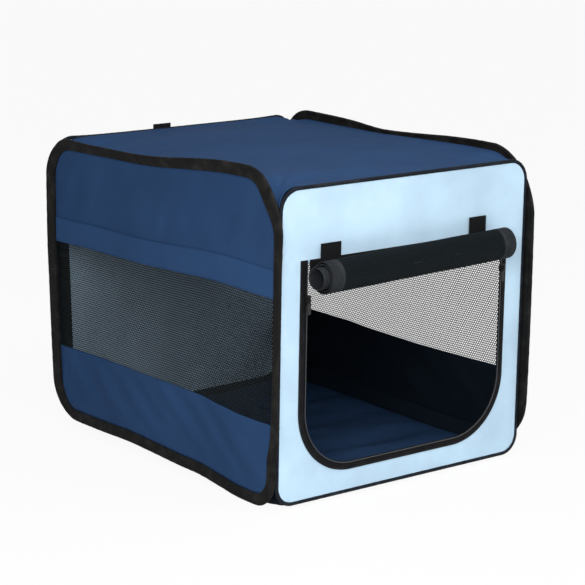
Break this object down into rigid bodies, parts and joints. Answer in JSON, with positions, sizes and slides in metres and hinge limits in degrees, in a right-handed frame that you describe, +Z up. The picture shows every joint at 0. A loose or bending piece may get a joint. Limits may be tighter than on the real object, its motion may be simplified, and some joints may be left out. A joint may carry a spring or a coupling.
{
  "type": "soft folding dog crate",
  "caption": "Fold-flat fabric dog crate on four spring-wire loops, with mesh side windows, a zipped roll-up mesh door and a padded floor mat.",
  "frame": {"origin": "Middle of the footprint on the ground, halfway between the front and back walls and between the sides.", "axes": "+X to the right seen from the front, +Y from the door to the back wall, +Z up."},
  "size_m": [0.571, 0.6894, 0.5367],
  "materials": {
    "pale_blue_cloth": "fine plain-weave polyester, matt",
    "navy_cloth": "fine plain-weave polyester, slight sheen",
    "black_binding": "ribbed woven tape, matt",
    "black_webbing": "woven webbing, matt",
    "black_mesh": "open knitted mesh",
    "grey_tape": "woven edge tape, matt",
    "zip_coil": "moulded coil, satin",
    "spring_steel": "drawn wire",
    "black_enamel": "black enamel on die-cast metal"
  },
  "bodies": {
    "root": {"floor_panel": "navy_cloth", "top_panel": "navy_cloth"},
    "mat": {"floor_mat": "navy_cloth"},
    "front": {"front_panel": "pale_blue_cloth", "front_piping": "black_binding", "front_wire": "spring_steel", "front_wire_ferrule": "spring_steel", "front_left_seam_tape": "black_binding", "front_right_seam_tape": "black_binding", "door_zip_tape": "black_binding", "door_zip_coil": "zip_coil", "door_curtain": "black_mesh"},
    "left_side": {"left_binding": "black_binding", "left_wire": "spring_steel", "left_wire_ferrule": "spring_steel", "left_upper_panel": "navy_cloth", "left_window_hem": "navy_cloth", "left_mesh_window": "black_mesh", "left_lower_panel": "navy_cloth"},
    "right_side": {"right_binding": "black_binding", "right_wire": "spring_steel", "right_wire_ferrule": "spring_steel", "right_upper_panel": "navy_cloth", "right_window_hem": "navy_cloth", "right_mesh_window": "black_mesh", "right_lower_panel": "navy_cloth"},
    "back": {"back_panel": "pale_blue_cloth", "back_piping": "black_binding", "back_wire": "spring_steel", "back_wire_ferrule": "spring_steel", "back_left_seam_tape": "black_binding", "back_right_seam_tape": "black_binding", "rear_tab": "black_webbing"},
    "door": {"door_roll": "black_mesh", "door_roll_left_tape": "grey_tape", "door_roll_right_tape": "grey_tape"},
    "left_slider": {"left_zip_slider": "black_enamel"},
    "right_slider": {"right_zip_slider": "black_enamel"},
    "left_pull": {"left_zip_pull": "black_enamel"},
    "right_pull": {"right_zip_pull": "black_enamel"},
    "left_tab": {"left_roll_tab": "black_webbing"},
    "right_tab": {"right_roll_tab": "black_webbing"}
  },
  "joints": [
    {"name": "fold", "type": "hinge", "parent": "root", "child": "front", "pos_m": [-0.2645, -0.3088, 0], "axis": [0, 0, 1], "range_deg": [0, 40], "stiffness_Nm_per_rad": 2, "deforming": ["top_panel", "floor_panel", "floor_mat"]},
    {"name": "fold_left", "type": "hinge", "parent": "root", "child": "left_side", "pos_m": [-0.2645, -0.3088, 0], "axis": [0, 0, -1], "range_deg": [0, 32]},
    {"name": "fold_right", "type": "hinge", "parent": "front", "child": "right_side", "pos_m": [0.2645, -0.3151, 0], "axis": [0, 0, -1], "range_deg": [0, 72]},
    {"name": "fold_back", "type": "hinge", "parent": "left_side", "child": "back", "pos_m": [-0.2645, 0.3151, 0], "axis": [0, 0, 1], "range_deg": [0, 72]},
    {"name": "door_unroll", "type": "slide", "parent": "front", "child": "door", "axis": [0, 0, -1], "range_m": [0, 0.3], "deforming": ["door_curtain"]},
    {"name": "left_zip", "type": "slide", "parent": "front", "child": "left_slider", "axis": [0, 0, -1], "range_m": [0, 0.175]},
    {"name": "right_zip", "type": "slide", "parent": "front", "child": "right_slider", "axis": [0, 0, -1], "range_m": [0, 0.175]},
    {"name": "left_pull_swing", "type": "hinge", "parent": "left_slider", "child": "left_pull", "pos_m": [-0.2085, -0.3218, 0.337], "axis": [-1, 0, 0], "range_deg": [0, 120]},
    {"name": "right_pull_swing", "type": "hinge", "parent": "right_slider", "child": "right_pull", "pos_m": [0.2085, -0.3218, 0.337], "axis": [-1, 0, 0], "range_deg": [0, 120]},
    {"name": "left_tab_lift", "type": "hinge", "parent": "front", "child": "left_tab", "pos_m": [-0.162, -0.3173, 0.42], "axis": [-1, 0, 0], "range_deg": [0, 150], "deforming": ["left_roll_tab"]},
    {"name": "right_tab_lift", "type": "hinge", "parent": "front", "child": "right_tab", "pos_m": [0.151, -0.3173, 0.427], "axis": [-1, 0, 0], "range_deg": [0, 150], "deforming": ["right_roll_tab"]},
    {"name": "mat_lift", "type": "slide", "parent": "root", "child": "mat", "axis": [0, 0, 1], "range_m": [0, 0.12]}
  ],
  "couplings": [
    {"joint": "fold_left", "follows": "fold", "ratio": 0.8},
    {"joint": "fold_right", "follows": "fold", "ratio": 1.8},
    {"joint": "fold_back", "follows": "fold", "ratio": 1.8}
  ]
}
